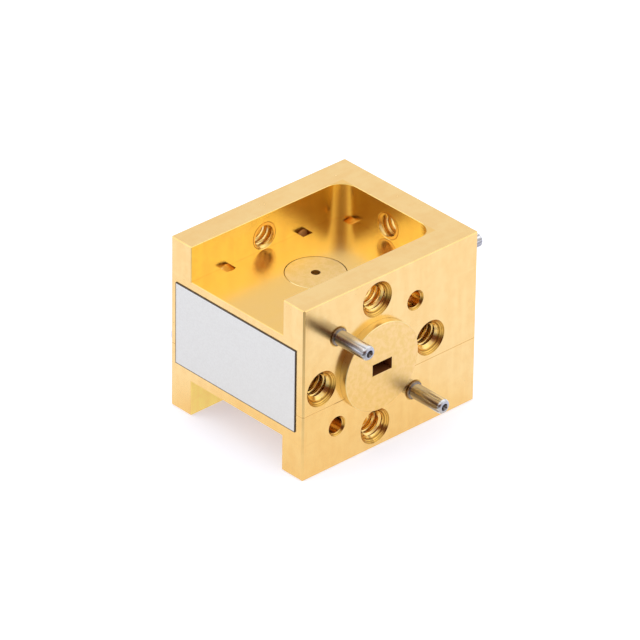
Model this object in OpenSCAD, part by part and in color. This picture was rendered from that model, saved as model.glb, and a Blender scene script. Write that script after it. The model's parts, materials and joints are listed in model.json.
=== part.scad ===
// Three-port waveguide junction circulator for the 75 to 110 GHz band.
// A gold plated split housing carries three flanges on a 9/16 inch bolt circle.
// The base stands on Z = 0, port 1 faces +X, port 2 faces -X, port 3 faces +Y,
// and the label is on the -Y face. Units are millimetres.

/* [Housing] */
// Width from the flange face of port 1 to that of port 2
body_w = 19.05; // [19:0.05:24]
// Height of the housing
body_h = 19.05; // [18.6:0.05:22]
// Distance from the port axis to the label face
front_depth = 9.525; // [9.4:0.025:12]
// Distance from the port axis to the flange face of port 3
back_depth = 13.335; // [13.2:0.005:16]
// How far the seam between the two halves lies below the port axis
seam_drop = 2.38; // [2:0.01:3]
// Edge break on the level outer edges
edge_break = 0.1; // [0.05:0.01:0.3]
// Edge break on the upright outer corners
corner_break = 0.18; // [0.05:0.01:0.4]
// Edge break along the seam
seam_break = 0.03; // [0.02:0.01:0.1]

/* [Pockets] */
// Depth of the pocket milled into the top and of the one milled into the base
pocket_depth = 3.9; // [3:0.05:4.2]
// Thickness of the side walls beside the pockets
side_wall = 2.95; // [2.5:0.05:3.5]
// Thickness of the back wall behind the pockets
back_wall = 3.03; // [2.5:0.01:3.5]
// Radius that the cutter leaves in the back corners of a pocket
pocket_corner_r = 2; // [1:0.1:3]
// Edge break around the mouth of a pocket
pocket_break = 0.06; // [0.05:0.01:0.2]

/* [Flange] */
// Diameter of the circle that the tapped holes, pins and alignment holes lie on
bolt_circle = 14.2875; // [14:0.0125:15]
// Major diameter of the tapped holes, size 4-40
tap_d = 2.845; // [2.4:0.005:3]
// Diameter of the lead-in at the mouth of a tapped hole
tap_mouth_d = 3.8; // [3.2:0.05:3.9]
// Diameter of the edge break where a tapped hole opens into a pocket
tap_exit_d = 3; // [2.85:0.01:3]
// Full depth of the tapped holes beside the waveguide, which are blind
tap_depth = 3.6; // [3:0.1:3.7]
// Diameter of the alignment holes
align_d = 1.7; // [1.6:0.01:1.8]
// Diameter of the lead-in at the mouth of an alignment hole
align_mouth_d = 2.15; // [1.9:0.05:2.4]
// Full depth of the alignment holes
align_depth = 3.75; // [3:0.05:4]
// Depth of the flat-bottomed holes that the pins are pressed into
pin_hole_depth = 3.75; // [3.4:0.05:4]

/* [Dowel pins] */
// Diameter of the free end of a pin
pin_d = 1.56; // [1.5:0.01:1.6]
// How far a pin stands out of its flange face
pin_reach = 4.4; // [3:0.1:5]
// Diameter of the collar that a pin seats on
pin_collar_d = 1.95; // [1.9:0.05:2.3]
// Thickness of the collar
pin_collar_t = 0.25; // [0.25:0.05:0.8]
// Length of the shank that is pressed into the wall
pin_shank = 2.9; // [2:0.1:2.9]

/* [Port boss] */
// Diameter of the raised face
boss_d = 9.525; // [9:0.025:9.8]
// Height of the raised face above the flange face
boss_h = 0.84; // [0.4:0.02:1.2]
// Depth to which the boss is sunk in the housing
boss_depth = 2; // [1.5:0.1:2.5]

/* [Waveguide] */
// Broad inner wall of the waveguide
guide_w = 2.54; // [2:0.01:2.6]
// Narrow inner wall of the waveguide
guide_h = 1.27; // [1:0.01:1.3]
// Offset of the junction from the axis of ports 1 and 2 towards port 3
junction_y = 0.75; // [0.3:0.05:1]
// Diameter of the round cavity where the three arms meet
cavity_d = 3.56; // [3.2:0.02:3.8]
// Diameter of the land that carries the junction on the lower block
land_d = 7.6; // [7.2:0.1:8]

/* [Junction] */
// Diameter of the matching pedestal
pedestal_d = 2.4; // [2:0.1:2.6]
// Height of the matching pedestal
pedestal_h = 0.25; // [0.15:0.01:0.3]
// Diameter of the ferrite post and of the spacer on it
post_d = 1.3; // [1:0.05:1.6]
// Height of the ferrite post
post_h = 0.6; // [0.4:0.01:0.7]
// Diameter of the magnets
magnet_d = 5; // [4:0.1:5.4]
// Thickness of the magnets
magnet_t = 3; // [2.6:0.1:3.1]
// Diameter of the magnet covers
cover_d = 6.1; // [5.8:0.1:6.4]
// Thickness of the magnet covers
cover_t = 1; // [0.8:0.1:1.2]
// Diameter of the hole in the middle of a cover
cover_hole_d = 0.95; // [0.6:0.05:1.2]

/* [Fasteners] */
// Thread diameter of the screws that clamp the halves, size 0-80
screw_d = 1.52; // [1.2:0.01:1.6]
// Length of the screws under the head
screw_length = 6; // [5:0.5:7]
// Head diameter of the screws
screw_head_d = 2.44; // [2:0.02:2.6]
// Head height of the screws
screw_head_h = 1.5; // [1.2:0.05:1.6]
// Diameter of the dowels between the halves
dowel_d = 1.5; // [1:0.1:1.6]
// Length of the dowels between the halves
dowel_length = 4; // [3:0.2:4]

/* [Label] */
// Width of the label
label_w = 17.2; // [10:0.1:18]
// Height of the label
label_h = 9.1; // [6:0.1:10]
// Thickness of the label
label_t = 0.1; // [0.05:0.01:0.15]

/* [Hidden] */
$fn = 64;

gold = "#e8bf78";
bright_gold = "#f2cf8f";
steel = "#b9b4b0";
magnet_grey = "#6f7276";
ferrite_black = "#2b2a2c";
spacer_white = "#e9e6df";
label_white = "#e3e5ea";

over = 1;
fit_gap = 0.01;
tongue_gap = 0.02;
seat_gap = 0.05;
axis_z = body_h / 2;
axis_y = (front_depth - back_depth - pin_reach) / 2;
seam_z = -seam_drop;
tongue_h = -guide_h / 2 - seam_z;
floor_z = body_h / 2 - pocket_depth;
pocket_x = body_w / 2 - side_wall;
pocket_y = back_depth - back_wall;
bolt_r = bolt_circle / 2;
pin_xy = bolt_r / sqrt(2);
drill_tip_slope = tan(31);
boss_break = 0.06;
boss_ease = 0.2;
pin_tip_r = 0.35;
pin_tip_dimple_d = 0.8;
pin_ease = 0.14;
pin_relief = 0.4;
pin_dimple_slope = tan(60);
pin_collar_foot = 0.04;
pin_collar_round = 0.15;
cover_seat_d = cover_d + 2 * seat_gap;
cover_seat_z = floor_z - cover_t;
magnet_z = cover_seat_z - magnet_t;
screw_head_z = -floor_z + screw_head_h;
screw_seat_d = screw_head_d + 0.3;
screw_clearance_d = screw_d + 0.2;
screw_tip_room = 0.5;
screw_head_break = 0.1;
dowel_end_room = 0.2;
dowel_ease = 0.15;
magnet_ease = 0.2;
hex_across = 1.27;
hex_depth = 0.8;
screw_x = 3.4;
screw_front_y = -6.8;
screw_back_y = 7.4;
dowel_x = 5.2;
dowel_front_y = -2.6;
dowel_back_y = 2.9;
arm_slope = 30;
label_x = -0.14;
label_z = 0.16;
// Heading of each port in degrees from +X, and the distance of its face from the port axis
PORT_HEADINGS = [0, 180, 90];
PORT_REACH = [body_w / 2, body_w / 2, back_depth];

// Everything below is drawn about the point where the port axes meet, then lifted to the base
module at_axis() {
    translate([0, axis_y, axis_z]) children();
}

// Local X is to the right and local Y is up when a flange is seen from outside, local Z is out
module on_port(i) {
    rotate([90, 0, 90 + PORT_HEADINGS[i]]) translate([0, 0, PORT_REACH[i]]) children();
}

module on_junction() {
    translate([0, junction_y, 0]) children();
}

// An octagon: a rectangle with one edge break at its low corners and one at its high corners
function broken_rect(x0, x1, y0, y1, low, high) = [
    [x0 + low, y0], [x1 - low, y0], [x1, y0 + low], [x1, y1 - high],
    [x1 - high, y1], [x0 + high, y1], [x0, y1 - high], [x0, y0 + low]
];

function arc(cx, cy, r, a0, a1, steps) = [
    for (k = [0:steps])
        let (a = a0 + (a1 - a0) * k / steps)
        [cx + r * cos(a), cy + r * sin(a)]
];

// One half of the housing with all its outer edges broken
module outer_block(z0, z1, low, high) {
    half_w = body_w / 2;
    intersection() {
        translate([0, back_depth, 0]) rotate([90, 0, 0])
            linear_extrude(front_depth + back_depth)
            polygon(broken_rect(-half_w, half_w, z0, z1, low, high));
        translate([-half_w, 0, 0]) rotate([90, 0, 90])
            linear_extrude(body_w)
            polygon(broken_rect(-front_depth, back_depth, z0, z1, low, high));
        translate([0, 0, z0])
            linear_extrude(z1 - z0)
            polygon(broken_rect(-half_w, half_w, -front_depth, back_depth, corner_break, corner_break));
    }
}

// A bar that breaks a square edge when it is laid along it, drawn along +Z
module edge_bar(length) {
    rotate(45) translate([0, 0, length / 2])
        cube([pocket_break * sqrt(2), pocket_break * sqrt(2), length], center = true);
}

// The pocket is open at the top and towards the label face
module pocket() {
    corner_x = pocket_x - pocket_corner_r;
    corner_y = pocket_y - pocket_corner_r;
    mouth_z = body_h / 2;
    side_run = corner_y + front_depth + over;
    translate([0, 0, floor_z]) linear_extrude(pocket_depth + over) {
        translate([-pocket_x, -front_depth - over]) square([2 * pocket_x, side_run]);
        translate([-corner_x, 0]) square([2 * corner_x, pocket_y]);
        for (side = [-1, 1]) translate([side * corner_x, corner_y]) circle(pocket_corner_r);
    }
    for (side = [-1, 1]) {
        translate([side * corner_x, corner_y, mouth_z - pocket_break])
            cylinder(r1 = pocket_corner_r, r2 = pocket_corner_r + 2 * pocket_break, h = 2 * pocket_break);
        translate([side * pocket_x, corner_y, mouth_z]) rotate([90, 0, 0]) edge_bar(side_run);
        translate([side * pocket_x, -front_depth, floor_z]) edge_bar(pocket_depth + over);
    }
    translate([-corner_x, pocket_y, mouth_z]) rotate([0, 90, 0]) edge_bar(2 * corner_x);
    translate([-pocket_x, -front_depth, floor_z]) rotate([0, 90, 0]) edge_bar(2 * pocket_x);
}

// Seat of a magnet and its cover, sunk from the pocket floor
module magnet_seat() {
    on_junction() {
        translate([0, 0, magnet_z]) cylinder(d = magnet_d + 2 * seat_gap, h = magnet_t + over);
        translate([0, 0, cover_seat_z]) cylinder(d = cover_seat_d, h = cover_t + over);
    }
}

// A drilled hole with a lead-in at its mouth and a drill point at its end
module drilled_hole(d, mouth_d, depth) {
    lead_in = (mouth_d - d) / 2;
    tip = d / 2 * drill_tip_slope;
    translate([0, 0, -depth]) cylinder(d = d, h = depth + over);
    translate([0, 0, -lead_in]) cylinder(d1 = d, d2 = mouth_d + 2 * lead_in, h = 2 * lead_in);
    translate([0, 0, -depth - tip]) cylinder(d1 = 0, d2 = d, h = tip);
}

// Everything that a flange cuts into the housing
module flange_cuts(i) {
    wall = PORT_HEADINGS[i] == 90 ? back_wall : side_wall;
    on_port(i) {
        for (a = [0, 180]) rotate(a) translate([bolt_r, 0, 0]) drilled_hole(tap_d, tap_mouth_d, tap_depth);
        for (a = [90, 270]) rotate(a) translate([bolt_r, 0, 0]) {
            drilled_hole(tap_d, tap_mouth_d, wall + over);
            translate([0, 0, -wall]) cylinder(d1 = tap_exit_d, d2 = tap_d, h = (tap_exit_d - tap_d) / 2);
            translate([0, 0, -wall - over]) cylinder(d = tap_exit_d, h = over);
        }
        for (s = [-1, 1]) {
            translate([s * pin_xy, s * pin_xy, 0]) drilled_hole(align_d, align_mouth_d, align_depth);
            translate([-s * pin_xy, s * pin_xy, -pin_hole_depth])
                cylinder(d = align_d, h = pin_hole_depth + over);
        }
        translate([0, 0, -boss_depth]) cylinder(d = boss_d + 2 * fit_gap, h = boss_depth + over);
    }
}

// Plan of the waveguide: an arm to each port, with a mitred bend in those of ports 1 and 2
module guide_plan(w) {
    half = w / 2;
    bend_x = junction_y / tan(arm_slope);
    mitre = half * tan(arm_slope / 2);
    fork = half / cos(arm_slope);
    end_x = body_w / 2 - boss_depth + over;
    end_y = back_depth - boss_depth + over;
    right = [
        [bend_x - mitre, -half], [end_x, -half], [end_x, half], [bend_x + mitre, half],
        [half, junction_y + fork - half * tan(arm_slope)], [half, end_y]
    ];
    left = [for (k = [len(right) - 1:-1:0]) [-right[k].x, right[k].y]];
    polygon(concat([[0, junction_y - fork]], right, left));
}

module screw_places() {
    for (side = [-1, 1]) for (y = [screw_front_y, screw_back_y])
        translate([side * screw_x, y, 0]) children();
}

module dowel_places() {
    translate([dowel_x, dowel_front_y, seam_z]) children();
    translate([-dowel_x, dowel_back_y, seam_z]) children();
}

module dowel_holes() {
    dowel_places() cylinder(d = dowel_d + 2 * fit_gap, h = dowel_length + 2 * dowel_end_room, center = true);
}

module upper_block() {
    color(gold) at_axis() difference() {
        outer_block(seam_z, body_h / 2, seam_break, edge_break);
        pocket();
        magnet_seat();
        translate([0, 0, seam_z - over]) {
            linear_extrude(guide_h / 2 - seam_z + over) guide_plan(guide_w);
            on_junction() {
                cylinder(d = cavity_d, h = guide_h / 2 - seam_z + over);
                cylinder(d = land_d + 2 * tongue_gap, h = tongue_h + over);
            }
        }
        for (i = [0:2]) flange_cuts(i);
        screw_places() translate([0, 0, screw_head_z])
            cylinder(d = screw_d + 2 * fit_gap, h = screw_length + screw_tip_room);
        dowel_holes();
    }
}

module lower_block() {
    color(gold) at_axis() difference() {
        union() {
            outer_block(-body_h / 2, seam_z, edge_break, seam_break);
            translate([0, 0, seam_z - over]) {
                linear_extrude(tongue_h + over) guide_plan(guide_w - 2 * tongue_gap);
                on_junction() cylinder(d = land_d, h = tongue_h + over);
            }
        }
        mirror([0, 0, 1]) {
            pocket();
            magnet_seat();
        }
        for (i = [0:2]) flange_cuts(i);
        screw_places() {
            translate([0, 0, -floor_z - over]) cylinder(d = screw_seat_d, h = screw_head_h + over);
            translate([0, 0, -floor_z]) cylinder(d = screw_clearance_d, h = floor_z + seam_z + over);
        }
        dowel_holes();
    }
}

// A turned boss, pressed into the housing, with the waveguide's mouth in its raised face
module port_boss(i) {
    wall_r = boss_d / 2;
    color(bright_gold) at_axis() on_port(i) difference() {
        rotate_extrude() polygon([
            [0, -boss_depth], [wall_r - boss_ease, -boss_depth], [wall_r, boss_ease - boss_depth],
            [wall_r, boss_h - boss_break], [wall_r - boss_break, boss_h], [0, boss_h]
        ]);
        translate([-guide_w / 2, -guide_h / 2, -boss_depth - over])
            cube([guide_w, guide_h, boss_depth + boss_h + 2 * over]);
    }
}

// Side is -1 for the upper left pin and 1 for the lower right one, as seen from outside
module port_pin(i, side) {
    free_r = pin_d / 2;
    shank_r = align_d / 2 - fit_gap;
    collar_r = pin_collar_d / 2;
    dimple = pin_tip_dimple_d / 2;
    color(steel) at_axis() on_port(i) translate([side * pin_xy, -side * pin_xy, 0])
        rotate_extrude() polygon(concat(
            [[0, -pin_shank], [shank_r - pin_ease, -pin_shank], [shank_r, pin_ease - pin_shank]],
            [[shank_r, -pin_relief], [shank_r - pin_relief / 2, 0]],
            [[collar_r - pin_collar_foot, 0], [collar_r, pin_collar_foot]],
            arc(collar_r - pin_collar_round, pin_collar_t - pin_collar_round, pin_collar_round, 0, 90, 6),
            [[free_r, pin_collar_t]],
            arc(free_r - pin_tip_r, pin_reach - pin_tip_r, pin_tip_r, 0, 90, 6),
            [[dimple, pin_reach], [0, pin_reach - dimple * pin_dimple_slope]]
        ));
}

module cover_disc() {
    rim = cover_d / 2;
    color(bright_gold) on_junction() difference() {
        rotate_extrude() polygon([
            [0, cover_seat_z], [rim, cover_seat_z], [rim, floor_z - seat_gap],
            [rim - seat_gap, floor_z], [0, floor_z]
        ]);
        translate([0, 0, cover_seat_z - over]) cylinder(d = cover_hole_d, h = cover_t + 2 * over);
    }
}

module magnet_disc() {
    r = magnet_d / 2;
    color(magnet_grey) on_junction() rotate_extrude() polygon([
        [0, magnet_z], [r - magnet_ease, magnet_z], [r, magnet_z + magnet_ease],
        [r, cover_seat_z - magnet_ease], [r - magnet_ease, cover_seat_z], [0, cover_seat_z]
    ]);
}

module upper_magnet_cover() {
    at_axis() cover_disc();
}

module upper_magnet() {
    at_axis() magnet_disc();
}

module lower_magnet() {
    at_axis() mirror([0, 0, 1]) magnet_disc();
}

module lower_magnet_cover() {
    at_axis() mirror([0, 0, 1]) cover_disc();
}

// Stacked on the junction's floor: pedestal, ferrite and a spacer that reaches the guide's roof
module matching_pedestal() {
    color(gold) at_axis() on_junction()
        translate([0, 0, -guide_h / 2]) cylinder(d = pedestal_d, h = pedestal_h);
}

module ferrite_post() {
    color(ferrite_black) at_axis() on_junction()
        translate([0, 0, -guide_h / 2 + pedestal_h]) cylinder(d = post_d, h = post_h);
}

module dielectric_spacer() {
    base_z = -guide_h / 2 + pedestal_h + post_h;
    color(spacer_white) at_axis() on_junction()
        translate([0, 0, base_z]) cylinder(d = post_d, h = guide_h / 2 - base_z);
}

// Socket head cap screw, head down, drawn about its seat under the head
module clamp_screw() {
    difference() {
        union() {
            translate([0, 0, -screw_head_h])
                cylinder(d1 = screw_head_d - 2 * screw_head_break, d2 = screw_head_d, h = screw_head_break);
            translate([0, 0, screw_head_break - screw_head_h])
                cylinder(d = screw_head_d, h = screw_head_h - screw_head_break);
            cylinder(d = screw_d, h = screw_length);
        }
        translate([0, 0, -screw_head_h - over])
            cylinder(d = hex_across / cos(30), h = hex_depth + over, $fn = 6);
    }
}

module block_screws() {
    color(steel) at_axis() screw_places() translate([0, 0, screw_head_z]) clamp_screw();
}

module block_dowels() {
    color(steel) at_axis() dowel_places() {
        cylinder(d = dowel_d, h = dowel_length - 2 * dowel_ease, center = true);
        for (flip = [0, 1]) mirror([0, 0, flip]) translate([0, 0, dowel_length / 2 - dowel_ease])
            cylinder(d1 = dowel_d, d2 = dowel_d - 2 * dowel_ease, h = dowel_ease);
    }
}

module label() {
    color(label_white) at_axis()
        translate([label_x - label_w / 2, -front_depth - label_t, label_z - label_h / 2])
        cube([label_w, label_t, label_h]);
}

upper_block();
lower_block();
port_boss(0);  // port_1_boss
port_boss(1);  // port_2_boss
port_boss(2);  // port_3_boss
port_pin(0, -1);  // port_1_upper_pin
port_pin(0, 1);  // port_1_lower_pin
port_pin(1, -1);  // port_2_upper_pin
port_pin(1, 1);  // port_2_lower_pin
port_pin(2, -1);  // port_3_upper_pin
port_pin(2, 1);  // port_3_lower_pin
upper_magnet_cover();
upper_magnet();
lower_magnet();
lower_magnet_cover();
matching_pedestal();
ferrite_post();
dielectric_spacer();
block_screws();
block_dowels();
label();
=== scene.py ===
import json
import math

import bpy
from mathutils import Matrix, Vector


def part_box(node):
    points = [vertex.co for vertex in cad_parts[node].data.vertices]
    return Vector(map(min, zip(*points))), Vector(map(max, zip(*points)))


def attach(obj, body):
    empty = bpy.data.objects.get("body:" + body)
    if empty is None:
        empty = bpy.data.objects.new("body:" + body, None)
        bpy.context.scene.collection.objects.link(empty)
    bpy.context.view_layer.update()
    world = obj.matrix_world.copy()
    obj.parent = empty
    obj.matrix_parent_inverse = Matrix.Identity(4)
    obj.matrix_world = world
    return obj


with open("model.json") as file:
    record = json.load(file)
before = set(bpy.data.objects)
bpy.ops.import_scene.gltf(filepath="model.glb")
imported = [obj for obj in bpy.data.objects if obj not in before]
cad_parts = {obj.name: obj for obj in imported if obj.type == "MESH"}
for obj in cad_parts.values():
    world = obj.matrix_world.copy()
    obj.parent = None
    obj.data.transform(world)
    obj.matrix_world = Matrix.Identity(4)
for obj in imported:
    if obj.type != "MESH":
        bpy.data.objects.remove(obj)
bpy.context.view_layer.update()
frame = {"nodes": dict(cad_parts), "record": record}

# The frame is in metres, and the patterns and threads below are worked out in millimetres
MM = 0.001
MOUNTS = {mount["name"]: mount for mount in frame["record"]["mounts"]}
PORTS = (1, 2, 3)
UP = Vector((0, 0, 1))

# The outer faces and the seam of the housing, and the thickness of the walls beside and behind its pockets
SIDE_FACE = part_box("upper_block")[1].x / MM
BACK_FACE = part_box("upper_block")[1].y / MM
TOP_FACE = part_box("upper_block")[1].z / MM
SEAM_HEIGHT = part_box("upper_block")[0].z / MM
SIDE_WALL = 2.95
BACK_WALL = 3.03

# Where the finish of the pockets ends, a little behind their sides and back, and behind their floor and roof,
# with which the covers are flush
BEHIND_SIDE = 0.025
BEHIND_BACK = 0.030
BEHIND_LEVEL = 0.020
POCKET_HALF_WIDTH = SIDE_FACE - SIDE_WALL + BEHIND_SIDE
POCKET_BACK = BACK_FACE - BACK_WALL + BEHIND_BACK
POCKET_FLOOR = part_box("upper_magnet_cover")[1].z / MM - BEHIND_LEVEL
POCKET_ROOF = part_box("lower_magnet_cover")[0].z / MM + BEHIND_LEVEL

# How near to a level face a point still counts as on it, and how near to the seam it paints the seam's dark
# line
LEVEL_REACH = 0.04
SEAM_CORE = 0.02
SEAM_REACH = 0.06

# The tapped holes of the flanges have a 4-40 thread, of which the solids hold the plain bore
BOLT_RADIUS = MOUNTS["port_3_flange"]["dims"]["pcd_mm"] / 2
TAP_RADIUS = MOUNTS["port_3_flange"]["dims"]["hole_r_mm"]
TAP_MOUTH_RADIUS = 1.9
TAP_PITCH = 25.4 / 40
TAP_CREST_RADIUS = 1.13
BLIND_THREAD = 3.25

# The ridge of a thread: its base as a share of the pitch, half the angle between its flanks, the steps of
# one turn, the turns past its ends, and the angle from which an edge is shown sharp
RIDGE_SHARE = 7 / 8
RIDGE_HALF_ANGLE = math.radians(30)
TURN_STEPS = 40
SPARE_TURNS = 2.0
SHARP_ANGLE = math.radians(28)

# The cone at 45 degrees that trims a thread to the mouth of its hole: its height, and the part in the hole
CONE_HEIGHT = 2.6
CONE_INSIDE = 1.0

# The alignment holes on the other diagonal than the pins: the edge of their mouth, and the bore inside it
ALIGN_MOUTH_RADIUS = 1.08
ALIGN_BORE_RADIUS = 0.88

# The distance between the rings that the cutter leaves in the mouths of all the holes
CUTTER_PITCH = 0.10

# How far a waveguide's mouth reaches from its middle, and how far behind the boss face its painted reflection
# starts
MOUTH_REACH = 1.6
MOUTH_START = -0.02

# A pin: its radius, the radius of the hole in its tip, and where its innermost end starts, counted from
# near the middle of its free end
PIN_RADIUS = MOUNTS["port_1_upper_pin_end"]["dims"]["r_mm"]
CENTRE_HOLE_RADIUS = 0.4
INNER_END_PLACE = -4.6

# The photograph's camera, aimed at a point near the middle of port 1's flange
CAMERA_AZIMUTH = 46.947
CAMERA_ELEVATION = 31.067
CAMERA_ROLL = 0.826
CAMERA_DISTANCE = 0.650
CAMERA_LENS = 377.5
CAMERA_AIM = Vector((1.5085, -4.105, 10.753)) * MM

# Base colours of the gold, linear
GOLD = (0.905, 0.635, 0.268, 1)
DEEP_GOLD = (0.865, 0.560, 0.210, 1)
POCKET_GOLD = (0.975, 0.795, 0.280, 1)
FLOOR_GOLD = (0.880, 0.555, 0.165, 1)
# The gold in the mouths of the holes, painted deeper for the shade inside them
SHADED_HOLE_GOLD = (0.800, 0.475, 0.110, 1)
CUTTER_LINE = (0.330, 0.160, 0.025, 1)
# The seam's dark line: dirt and painted shade in the gap between the blocks
SEAM_DIRT_AND_SHADE = (0.620, 0.370, 0.130, 1)
BORE_GOLD = (0.885, 0.560, 0.180, 1)
TURNED_GOLD = (0.900, 0.612, 0.262, 1)
TURNED_SHADE = (0.840, 0.562, 0.190, 1)
# Paler gold painted on the side and rim of the turned pieces, a painted highlight
RIM_HIGHLIGHT_GOLD = (0.940, 0.760, 0.370, 1)
# The waveguide's mouth is painted red-brown, a painted reflection of the light that the gold bounces deep
# inside it
MOUTH_REFLECTION_RED = (0.250, 0.085, 0.026, 1)
THREAD_GOLD = (0.890, 0.600, 0.165, 1)
DUST = (0.300, 0.190, 0.080, 1)

# Base colours of the pins and of the other pieces, linear
PIN_STEEL = (0.500, 0.500, 0.535, 1)
# The side of a pin is painted paler towards its tip, a painted highlight
TIP_HIGHLIGHT_STEEL = (0.800, 0.810, 0.850, 1)
# The collar is painted dark brown, painted shade and painted dark reflection on it
COLLAR_SHADE_BROWN = (0.270, 0.190, 0.120, 1)
# Dark on the pins: random clouds, painted shade in the tip's hole, and painted reflections in lines along the
# side
PIN_SHADE_REFLECTION_AND_CLOUD = (0.150, 0.130, 0.120, 1)
# The pins' inner ends are painted orange-brown, a painted reflection of the gold around them
INNER_END_GOLD_REFLECTION = (0.900, 0.430, 0.120, 1)
SCREW_STEEL = (0.560, 0.555, 0.545, 1)
SCREW_DARK = (0.25200, 0.24975, 0.24525, 1)
MAGNET_GREY = (0.330, 0.335, 0.345, 1)
MAGNET_DARK = (0.220, 0.220, 0.230, 1)
FERRITE_BLACK = (0.018, 0.017, 0.018, 1)
FERRITE_PORE = (0.040, 0.038, 0.040, 1)
SPACER_WHITE = (0.820, 0.810, 0.780, 1)
SPACER_SHADE = (0.760, 0.750, 0.710, 1)
LABEL_WHITE = (0.915, 0.945, 0.965, 1)
LABEL_SHADE = (0.850, 0.872, 0.892, 1)
LABEL_LINE = (0.070, 0.055, 0.045, 1)

# The floor, in metres: half its side, and its height, a hair below the feet
FLOOR_HALF = 4.0
FLOOR_LEVEL = -0.00002
FLOOR_PALE = (0.86, 0.86, 0.86, 1)
FLOOR_SHADE = (0.84, 0.84, 0.84, 1)
FLOOR_MIRRORED = (0.40, 0.40, 0.40, 1)

# The floor's glow, to the camera and in metal, which mirrors it warmer inside a round patch, given in mm, a
# painted pool of the light that the gold bounces onto the floor
SEEN_GLOW = 0.40
MIRRORED_GLOW = 0.79
SEEN_TINT = (0.93, 1.00, 1.20, 1)
BOUNCE_WARM_TINT = (0.94, 0.87, 0.76, 1)
COOL_TINT = (0.97, 1.01, 1.23, 1)
WARM_PATCH = (8.0, -10.0, 0.0)
WARM_PATCH_INNER = 14.0
WARM_PATCH_OUTER = 24.0

# The side of the studio that no lamp lights, and the dimmer wedge of floor before it that metal mirrors:
# how far towards that side it starts, is whole and dims, and how far behind the origin its apex is, in mm,
# with the slopes of its soft edges, and its glow where the dimming starts and ends
UNLIT_AZIMUTH = 47.0
UNLIT_START = 14.0
UNLIT_FULL = 30.0
UNLIT_APEX = 10.0
UNLIT_INNER_SLOPE = 0.6
UNLIT_OUTER_SLOPE = 1.2
DIMMING_START = 22.0
DIMMING_END = 75.0
DIMMING_GLOW = (0.85, 0.22)

# The card on that side: its radius in metres, its extent in degrees, and the middle, half sizes, edges and
# colour of its dark oval
CARD_RADIUS = 1.6
CARD_HALF_TURN = 84
CARD_TOP = 72
CARD_STEP = 4
DARK_ELEVATION = 15.0
DARK_HALF_WIDTH = 53
DARK_HALF_HEIGHT = 30
DARK_CORE = 0.37
DARK_RIM = 1.12
DARK_LIGHT = 0.14
DARK_GREEN_POWER = 1.5
DARK_BLUE_POWER = 1.7

# The soft lamps, on either side of the camera, in degrees and metres
SOFTBOX_AZIMUTHS = {"right_softbox": 133, "left_softbox": -47}
SOFTBOX_ELEVATION = 31
SOFTBOX_DISTANCE = 0.9
SOFTBOX_SIZE = 0.7
SOFTBOX_RADIANCE = 0.40


# Node helpers

def add(tree, kind, inputs=None, **settings):
    """A new node. An input that is given a socket is linked to it, and any other is set."""
    made = tree.nodes.new(kind)
    for name, value in settings.items():
        setattr(made, name, value)
    for key, value in (inputs or {}).items():
        if isinstance(value, bpy.types.NodeSocket):
            tree.links.new(value, made.inputs[key])
        else:
            made.inputs[key].default_value = value
    return made


def connect(tree, inputs, **sockets):
    """Links sockets to the inputs of these names, with spaces for underscores."""
    for name, socket in sockets.items():
        tree.links.new(socket, inputs[name.replace("_", " ")])


def maths(tree, operation, *values):
    """The result of one Math node."""
    return add(tree, "ShaderNodeMath", dict(enumerate(values)), operation=operation).outputs[0]


def vector_maths(tree, operation, *values):
    """The result of one Vector Math node, as a vector."""
    return add(tree, "ShaderNodeVectorMath", dict(enumerate(values)), operation=operation).outputs[0]


def measure(tree, operation, *values):
    """The result of one Vector Math node, as a value."""
    return add(tree, "ShaderNodeVectorMath", dict(enumerate(values)), operation=operation).outputs["Value"]


def scaled(tree, value, by, plus=0.0):
    """The value times a factor, plus a shift."""
    return maths(tree, "MULTIPLY_ADD", value, by, plus)


def largest(tree, value, *others):
    """The largest of several values."""
    for other in others:
        value = maths(tree, "MAXIMUM", value, other)
    return value


def distance_from(tree, value, target):
    """How far the value is from the target, to either side."""
    return maths(tree, "ABSOLUTE", maths(tree, "SUBTRACT", value, target))


def near(tree, value, target, reach):
    """1 where the value is within this reach of the target, and 0 elsewhere."""
    return maths(tree, "LESS_THAN", distance_from(tree, value, target), reach)


def split(tree, vector):
    """The X, Y and Z of a vector."""
    return add(tree, "ShaderNodeSeparateXYZ", {0: vector}).outputs


def join(tree, x=0.0, y=0.0, z=0.0):
    """A vector of three values."""
    return add(tree, "ShaderNodeCombineXYZ", {"X": x, "Y": y, "Z": z}).outputs[0]


def turn(tree, vector, angles):
    """A vector turned about the origin by these angles in radians."""
    inputs = {"Vector": vector, "Rotation": angles}
    return add(tree, "ShaderNodeVectorRotate", inputs, rotation_type="EULER_XYZ").outputs[0]


def noise(tree, position, scale, detail=2.0, roughness=0.5, distortion=0.0):
    """A noise value from 0 to 1 that changes over about one unit divided by the scale."""
    inputs = {"Vector": position, "Scale": scale, "Detail": detail,
              "Roughness": roughness, "Distortion": distortion}
    return add(tree, "ShaderNodeTexNoise", inputs).outputs["Fac"]


def line_noise(tree, place, detail, roughness=0.5):
    """A noise value from 0 to 1 that changes along one direction, over about one unit."""
    inputs = {"W": place, "Scale": 1.0, "Detail": detail, "Roughness": roughness}
    return add(tree, "ShaderNodeTexNoise", inputs, noise_dimensions="1D").outputs["Fac"]


def ramp(tree, value, low, high, to_low=0.0, to_high=1.0):
    """The value, eased from the range low to high to a new range and held inside it."""
    inputs = {"Value": value, "From Min": low, "From Max": high, "To Min": to_low, "To Max": to_high}
    return add(tree, "ShaderNodeMapRange", inputs, interpolation_type="SMOOTHSTEP").outputs["Result"]


def mix_value(tree, factor, first, second):
    """Two values mixed by a factor."""
    return add(tree, "ShaderNodeMix", {0: factor, 2: first, 3: second}, data_type="FLOAT").outputs[0]


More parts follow.
